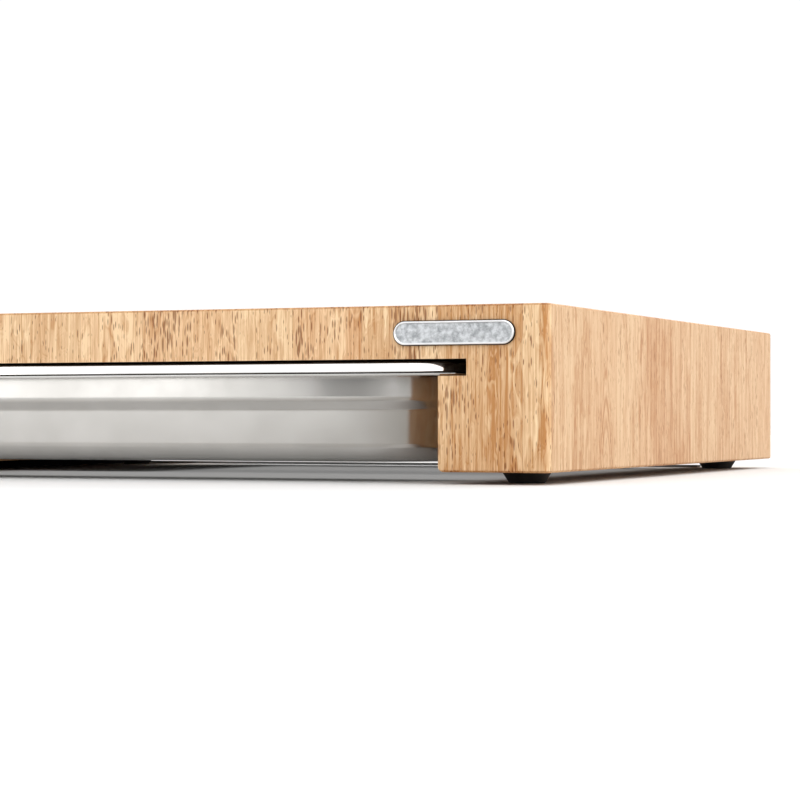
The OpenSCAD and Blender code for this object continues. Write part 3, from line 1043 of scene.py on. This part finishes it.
def foot_rubber():
    material, tree = new_material("moulded rubber")
    point = object_point(tree)
    grain = noise(tree, point, 2600.0, 3.0)
    dust = noise(tree, point, 180.0, 4.0)
    colour = blend_colours(tree, between(tree, dust, 0.45, 0.75), CLEAN_RUBBER, DUSTY_RUBBER)
    rough = maths(tree, "ADD", 0.42, maths(tree, "MULTIPLY", dust, 0.22))
    bump = add(tree, "Bump", {"Height": grain, "Strength": 0.25, "Distance": GRAIN_DEPTH})
    finish(tree, Base_Color=colour, Roughness=rough, Normal=bump.outputs[0], IOR=1.5)
    return material


FOOT_RUBBER = foot_rubber()
for place in FOOT_PLACES:
    low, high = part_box("foot_" + place)
    centre = ((low[0] + high[0]) / 2, (low[1] + high[1]) / 2)
    foot = turned("rubber_foot_" + place, centre, foot_profile(low, high))
    foot.data.materials.append(FOOT_RUBBER)
    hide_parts("foot_" + place)
    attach(foot, "board")
    print(foot.name, "is", round((high[2] - low[2]) / MM, 2), "mm high")

# %% [markdown]
# ## The badge
# The badge is cast in white metal: a long plate with round ends, a raised border and a bare field
# with the faint pits of the casting. It could be cut from a plate and bevelled, but a casting is
# soft everywhere. The same outline, drawn at several sizes and heights, gives it soft edges.

# %% Cast the badge
badge_low, badge_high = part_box("badge_plate")
BADGE_L, BADGE_W = badge_high[0] - badge_low[0], badge_high[2] - badge_low[2]
badge_mid = Vector(((badge_low[0] + badge_high[0]) / 2, badge_high[1],
                    (badge_low[2] + badge_high[2]) / 2))
BADGE_STEPS = [
    # distance in from the outline, and height over the wood, both in mm
    (0.0, 0.0), (0.0, 1.0), (0.05, 1.08), (0.25, 1.14), (0.36, 1.22), (0.42, 1.38),
    (0.52, 1.47), (0.64, 1.5), (0.92, 1.5), (1.04, 1.46), (1.12, 1.34), (1.17, 1.18),
    (1.24, 1.08), (1.40, 1.05), (1.8, 1.05), (3.2, 1.05),
]


def stadium_ring(inset, out, steps=24):
    """Points of the badge's outline, moved in by inset and standing out from the wood by out."""
    radius = BADGE_W / 2 - inset
    reach = BADGE_L / 2 - BADGE_W / 2
    ring = []
    for end, start in ((1, -math.pi / 2), (-1, math.pi / 2)):
        for i in range(steps + 1):
            angle = start + math.pi * i / steps
            ring.append(badge_mid + Vector((end * reach + radius * math.cos(angle), -out,
                                            radius * math.sin(angle))))
    return ring


def cast_badge():
    rings = [stadium_ring(inset * MM, out * MM) for inset, out in BADGE_STEPS]
    points, faces = join_rings(rings)
    count = len(rings[0])
    faces.append(tuple(range(len(points) - count, len(points))))
    faces.append(tuple(reversed(range(count))))
    return mesh_piece("cast_badge", points, faces)


badge = cast_badge()
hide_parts("badge_plate")
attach(badge, "board")
print("badge", round(BADGE_L / MM, 1), "x", round(BADGE_W / MM, 1), "mm")

# %% [markdown]
# ### White metal
# A casting is polished where a cloth can reach it: the border shines and the field stays grey and
# mottled. The outer step at the edge of the plate lies in shade, and that shade is painted
# near-black, so it draws a dark outline. Painting each by hand would take three materials. Here one
# material measures how far a point lies in from the badge's outline, and colours it by that
# distance.

# %% Material of the badge
# near-black colour of the painted shade on the outer step
PAINTED_STEP_SHADE = (0.015, 0.015, 0.017, 1)
BRIGHT_BORDER = (0.90, 0.91, 0.92, 1)
FIELD_DARK, FIELD_LIGHT = (0.34, 0.355, 0.37, 1), (0.68, 0.70, 0.72, 1)
STEP_SHADE_END = (0.40 * MM, 0.30 * MM)
FIELD_START = (1.16 * MM, 1.28 * MM)
CAST_DEPTH = 0.08 * MM


def distance_in(tree, point):
    """How far a point lies in from the outline of the badge."""
    x, _, z = split(tree, point)
    aside = maths(tree, "SUBTRACT", distance(tree, x, badge_mid.x), (BADGE_L - BADGE_W) / 2)
    aside = maths(tree, "MAXIMUM", aside, 0.0)
    above = maths(tree, "SUBTRACT", z, badge_mid.z)
    reach = maths(tree, "SQRT", maths(tree, "ADD", maths(tree, "MULTIPLY", aside, aside),
                                      maths(tree, "MULTIPLY", above, above)))
    return maths(tree, "SUBTRACT", BADGE_W / 2, reach)


def badge_metal():
    material, tree = new_material("cast white metal")
    point = object_point(tree)
    inset = distance_in(tree, point)
    mottle = noise(tree, point, 420.0, 4.0, 0.65)
    pits = noise(tree, point, 1500.0)
    field = blend_colours(tree, between(tree, mottle, 0.36, 0.62), FIELD_DARK, FIELD_LIGHT)
    colour = blend_colours(tree, between(tree, inset, *FIELD_START), BRIGHT_BORDER, field)
    # painted shade: the outer step of the badge is coloured near-black
    colour = blend_colours(tree, between(tree, inset, *STEP_SHADE_END), colour, PAINTED_STEP_SHADE)
    rough = maths(tree, "ADD", 0.30, maths(tree, "MULTIPLY", mottle, 0.20))
    height = maths(tree, "ADD", mottle, maths(tree, "MULTIPLY", pits, 0.4))
    bump = add(tree, "Bump", {"Height": height, "Strength": 0.5, "Distance": CAST_DEPTH})
    finish(tree, Base_Color=colour, Metallic=1.0, Roughness=rough, Normal=bump.outputs[0])
    return material


badge.data.materials.append(badge_metal())
print("badge border", round((FIELD_START[0] - STEP_SHADE_END[0]) / MM, 2), "mm wide")

# %% [markdown]
# ## Screws, washers and pins
# These are small turned parts, and only those in the feet show, from below. Finer meshes would
# hardly be seen, so the CAD solids stay and get a plain zinc-plated finish with tool marks.

# %% Material of the screws
FASTENERS = ("foot_washers", "foot_screws", "badge_pins")
ZINC_DARK, ZINC_LIGHT = (0.50, 0.50, 0.49, 1), (0.68, 0.68, 0.66, 1)
MARK_DEPTH = 0.02 * MM


def fastener_steel():
    material, tree = new_material("plated fastener steel")
    marks = noise(tree, object_point(tree), 900.0, 3.0)
    colour = blend_colours(tree, marks, ZINC_DARK, ZINC_LIGHT)
    rough = maths(tree, "ADD", 0.25, maths(tree, "MULTIPLY", marks, 0.22))
    bump = add(tree, "Bump", {"Height": marks, "Strength": 0.15, "Distance": MARK_DEPTH})
    finish(tree, Base_Color=colour, Metallic=1.0, Roughness=rough, Normal=bump.outputs[0])
    return material


FASTENER_STEEL = fastener_steel()
for name in FASTENERS:
    nodes[name].data.materials.clear()
    nodes[name].data.materials.append(FASTENER_STEEL)
print("plated:", ", ".join(FASTENERS))

# %% [markdown]
# ## Floor
# The board stands on white paper. A photographer would sweep the paper up behind it, so that no
# horizon shows. From a low camera a flat sheet does the same if it reaches far enough back, and no
# sweep then hides the board from behind. The paper is matt, so it mirrors nothing.

# %% Floor
FLOOR_HALF = 2.6
PAPER_DARK, PAPER_LIGHT = (0.73, 0.73, 0.73, 1), (0.76, 0.76, 0.76, 1)


def paper():
    material, tree = new_material("white paper")
    tooth = noise(tree, object_point(tree), 300.0)
    colour = blend_colours(tree, tooth, PAPER_DARK, PAPER_LIGHT)
    finish(tree, Base_Color=colour, Roughness=1.0, Specular_IOR_Level=0.0)
    return material


def flat_sheet(name, left, right, front, back, height):
    return mesh_piece(name, [(left, front, height), (right, front, height),
                             (right, back, height), (left, back, height)], [(0, 1, 2, 3)])


floor = flat_sheet("floor", -FLOOR_HALF, FLOOR_HALF, -FLOOR_HALF, FLOOR_HALF, 0)
floor.data.materials.append(paper())
print("floor", 2 * FLOOR_HALF, "m square")

# %% [markdown]
# ## Lights
# The light is soft and comes from all round, as in a white studio. A single strong lamp would give
# hard shadows and black steel. Five softboxes do it: a wide one overhead, one at the right that
# makes the side of the block the brightest, two in front that fill the face, and one far behind
# that keeps the paper white up to the horizon. Under the block it would be darker than paper under
# a real board, which light reaches from all sides. Two faint lights there make up for it, and the
# steel doesn't mirror them.

# %% Lights
SOFTBOXES = {
    # name: place, target, width and height in metres, watts
    "overhead softbox": ((0.5, -0.5, 2.0), (0.1, 0.0, 0.0), 2.6, 2.6, 26),
    "side softbox": ((2.0, -0.5, 0.9), (0.2, 0.0, 0.05), 1.2, 1.4, 13),
    "front softbox": ((0.2, -2.6, 1.3), (0.0, 0.0, 0.05), 4.0, 1.0, 17),
    "left softbox": ((-1.7, -2.2, 0.45), (0.0, -0.2, 0.03), 1.9, 1.1, 8),
    "rear softbox": ((0.3, 2.6, 1.6), (0.3, 2.2, 0.0), 5.0, 1.6, 60),
}
UNDER_HEIGHT = 7.8 * MM
UNDER_LIGHTS = (
    # place on the floor, width and depth in metres, watts
    ((0.045, 0.045), 0.23, 0.15, 0.028), ((0.0, -0.075), 0.30, 0.09, 0.026),
)


def softbox(name, place, target, width, height, watts):
    data = bpy.data.lights.new(name, "AREA")
    data.shape = "RECTANGLE"
    data.size, data.size_y = width, height
    data.energy = watts
    light = bpy.data.objects.new(name, data)
    light.location = place
    light.rotation_euler = (Vector(target) - Vector(place)).to_track_quat("-Z", "Y").to_euler()
    light.visible_camera = False
    bpy.context.scene.collection.objects.link(light)
    return light


for name, numbers in SOFTBOXES.items():
    softbox(name, *numbers)
for place, width, depth, watts in UNDER_LIGHTS:
    under = softbox("light under the block", (*place, UNDER_HEIGHT), (*place, 0.0), width, depth,
                    watts)
    under.visible_glossy = False
print(len(SOFTBOXES), "softboxes and", len(UNDER_LIGHTS), "lights under the block")

# %% [markdown]
# ## Shade strips under the block
# Under the block the gap along the far edges lies in deep shade. In an empty white studio it would
# glow. Tall black flags beside the board would darken it too, but they throw a shadow that shows
# from other sides. Dark strips on the paper, lower than the gap, stand in for that shade: they stop
# the view and throw hardly any shadow. From the left one shows as a thin dark line.

# %% Dark strips for the shade under the block
SHADE_STRIPS = {
    # name: left, right, front, back and height in metres, then the shade of the strip
    "shade_strip_left": (-0.1982, -0.1970, -0.10, 0.185, 4.6 * MM, 0.01),
    "shade_strip_rear": (-0.1965, 0.16, 0.1780, 0.1850, 1.2 * MM, 0.16),
}
SHADE_STRIP_LIGHTER = 1.6
CORNER_ORDER = ((0, 0), (1, 0), (1, 1), (0, 1))
BOX_FACES = [(0, 1, 2, 3), (4, 5, 6, 7), (0, 1, 5, 4), (1, 2, 6, 5), (2, 3, 7, 6), (3, 0, 4, 7)]


def shade_strip(name, left, right, front, back, height, shade):
    x, y = (left, right), (front, back)
    corners = [(x[i], y[j], z) for z in (0.0, height) for i, j in CORNER_ORDER]
    strip = mesh_piece(name, corners, BOX_FACES, smooth=False)
    material, tree = new_material(name + " painted shade")
    fuzz = noise(tree, object_point(tree), 900.0)
    light = shade * SHADE_STRIP_LIGHTER
    tone = blend_colours(tree, fuzz, (shade, shade, shade, 1), (light, light, light, 1))
    shader = add(tree, "BsdfDiffuse", {"Color": tone})
    add(tree, "OutputMaterial", {"Surface": shader.outputs[0]})
    strip.data.materials.append(material)
    print(name, round(height / MM, 1), "mm high")


# dark strips that stand in for the shade under the block
for name, numbers in SHADE_STRIPS.items():
    shade_strip(name, *numbers)

# %% [markdown]
# ## What the steel mirrors
# Polished steel has hardly any colour of its own: one sees the room in it. A photographer places
# white and black cards until the reflections tell the shape of the piece. Here they stand upright
# in front of the board and only the steel can see them, so they cast no light and no shadow. Their
# brightness is given by angles as the tray sees them, because an angle on the card is a place on
# the tray: the low card shows in the upright band, the high one in the leaning face of the bead.

# %% The face of a card
TRAY_EYE = Vector((0.09, -0.174, 0.042))
CARD_Y = -2.4
CARD_REACH = TRAY_EYE.y - CARD_Y
STRONGEST = 2.0


def card_face(name, strengths):
    """Glowing cloth whose strength is given at some angles, as the tray sees them."""
    material, tree = new_material(name + " face")
    point = object_point(tree)
    left, right = strengths[0][0], strengths[-1][0]
    aside = maths(tree, "SUBTRACT", split(tree, point)[0], TRAY_EYE.x)
    angle = maths(tree, "ARCTAN2", aside, CARD_REACH)
    share = between(tree, angle, math.radians(left), math.radians(right))
    node = add(tree, "ValToRGB", {"Fac": share})
    ramp = node.color_ramp
    for i, (where, strength) in enumerate(strengths):
        place, grey = (where - left) / (right - left), strength / STRONGEST
        step = ramp.elements[0] if i == 0 else ramp.elements.new(place)
        step.position = place
        step.color = (grey, grey, grey, 1)
    ramp.elements.remove(ramp.elements[-1])
    cloth = noise(tree, point, 6.0)
    tone = blend_colours(tree, cloth, (0.97, 0.97, 0.97, 1), (1.0, 1.0, 1.0, 1))
    strength = maths(tree, "MULTIPLY", node.outputs[0], STRONGEST)
    glow = add(tree, "Emission", {"Color": tone, "Strength": strength})
    add(tree, "OutputMaterial", {"Surface": glow.outputs[0]})
    return material


print("the cards stand", round(CARD_REACH, 2), "m in front of the tray")


# %% Cards that only the steel can see
CARDS = {
    # name: lowest and highest angle over the horizon, then pairs of an angle in degrees from
    # straight ahead and the strength there
    "card_low": (-2, 7.5, [(-62, 1.75), (-34, 1.85), (-28.6, 2.5), (-24.0, 0.04), (-6, 0.02),
                           (8, 0.28), (24, 0.66), (40, 0.34), (62, 0.10)]),
    "card_high": (7.8, 26, [(-62, 1.35), (62, 1.35)]),
    "card_top": (26.2, 70, [(-62, 0.05), (62, 0.05)]),
}
OVER_FLOOR = 0.002


def only_for_steel(piece):
    """Hides a piece from the camera and from matt surfaces, and takes away its shadow."""
    piece.visible_camera = piece.visible_diffuse = piece.visible_shadow = False


def seen_at(middle, degrees):
    """Where on the card's plane the tray sees something at this angle."""
    return middle + CARD_REACH * math.tan(math.radians(degrees))


def steel_card(name, low, high, strengths):
    left, right = [seen_at(TRAY_EYE.x, strengths[end][0]) for end in (0, -1)]
    foot, top = [max(OVER_FLOOR, seen_at(TRAY_EYE.z, angle)) for angle in (low, high)]
    card = mesh_piece(name, [(left, CARD_Y, foot), (right, CARD_Y, foot), (right, CARD_Y, top),
                             (left, CARD_Y, top)], [(0, 1, 2, 3)])
    card.data.materials.append(card_face(name, strengths))
    only_for_steel(card)
    print(name, "from", low, "to", high, "degrees up")


for name, numbers in CARDS.items():
    steel_card(name, *numbers)

# %% [markdown]
# ### A net over the floor
# The lower wall of the tray leans in and mirrors the paper in front of the board, which would make
# it equally bright from end to end. It darkens towards the right. Darker paper would show in the
# picture. A net just over the paper, thin at the left and dense at the right, dims only what the
# steel mirrors.

# %% The net over the floor
NET_FRONT, NET_BACK, NET_HEIGHT = -0.62, -0.195, 1.5 * MM
NET_LEFT, NET_RIGHT = -0.04, 0.75
NET_THIN, NET_DENSE = -0.03, 0.26
NO_SHADE, FULL_SHADE = (1, 1, 1, 1), (0.40, 0.38, 0.35, 1)


def floor_net():
    net = flat_sheet("floor_scrim", NET_LEFT, NET_RIGHT, NET_FRONT, NET_BACK, NET_HEIGHT)
    material, tree = new_material("scrim net")
    x = split(tree, object_point(tree))[0]
    tone = blend_colours(tree, between(tree, x, NET_THIN, NET_DENSE), NO_SHADE, FULL_SHADE)
    thread = add(tree, "BsdfTransparent", {"Color": tone})
    add(tree, "OutputMaterial", {"Surface": thread.outputs[0]})
    net.data.materials.append(material)
    only_for_steel(net)


floor_net()
print("net", round(NET_RIGHT - NET_LEFT, 2), "m wide")

# %% [markdown]
# ## The white surround
# Whatever no softbox reaches is lit by the walls of the studio. A world of one strength would light
# both ends of the tunnel alike and flatten the block. This one is dimmer towards the camera and
# white behind the board. The Standard view keeps white paper white, where Blender's usual one would
# turn it grey.

# %% The white surround
DIM, WHITE = 0.42, 1.05

world = bpy.data.worlds.new("white studio")
world.use_nodes = True
sky = world.node_tree
way = add(sky, "TexCoord").outputs["Generated"]
background = sky.nodes["Background"]
background.inputs["Color"].default_value = (1, 1, 1, 1)
sky.links.new(between(sky, split(sky, way)[1], -0.35, 0.35, DIM, WHITE),
              background.inputs["Strength"])
bpy.context.scene.world = world
bpy.context.scene.view_settings.view_transform = "Standard"
print("surround from", DIM, "in front to", WHITE, "behind")
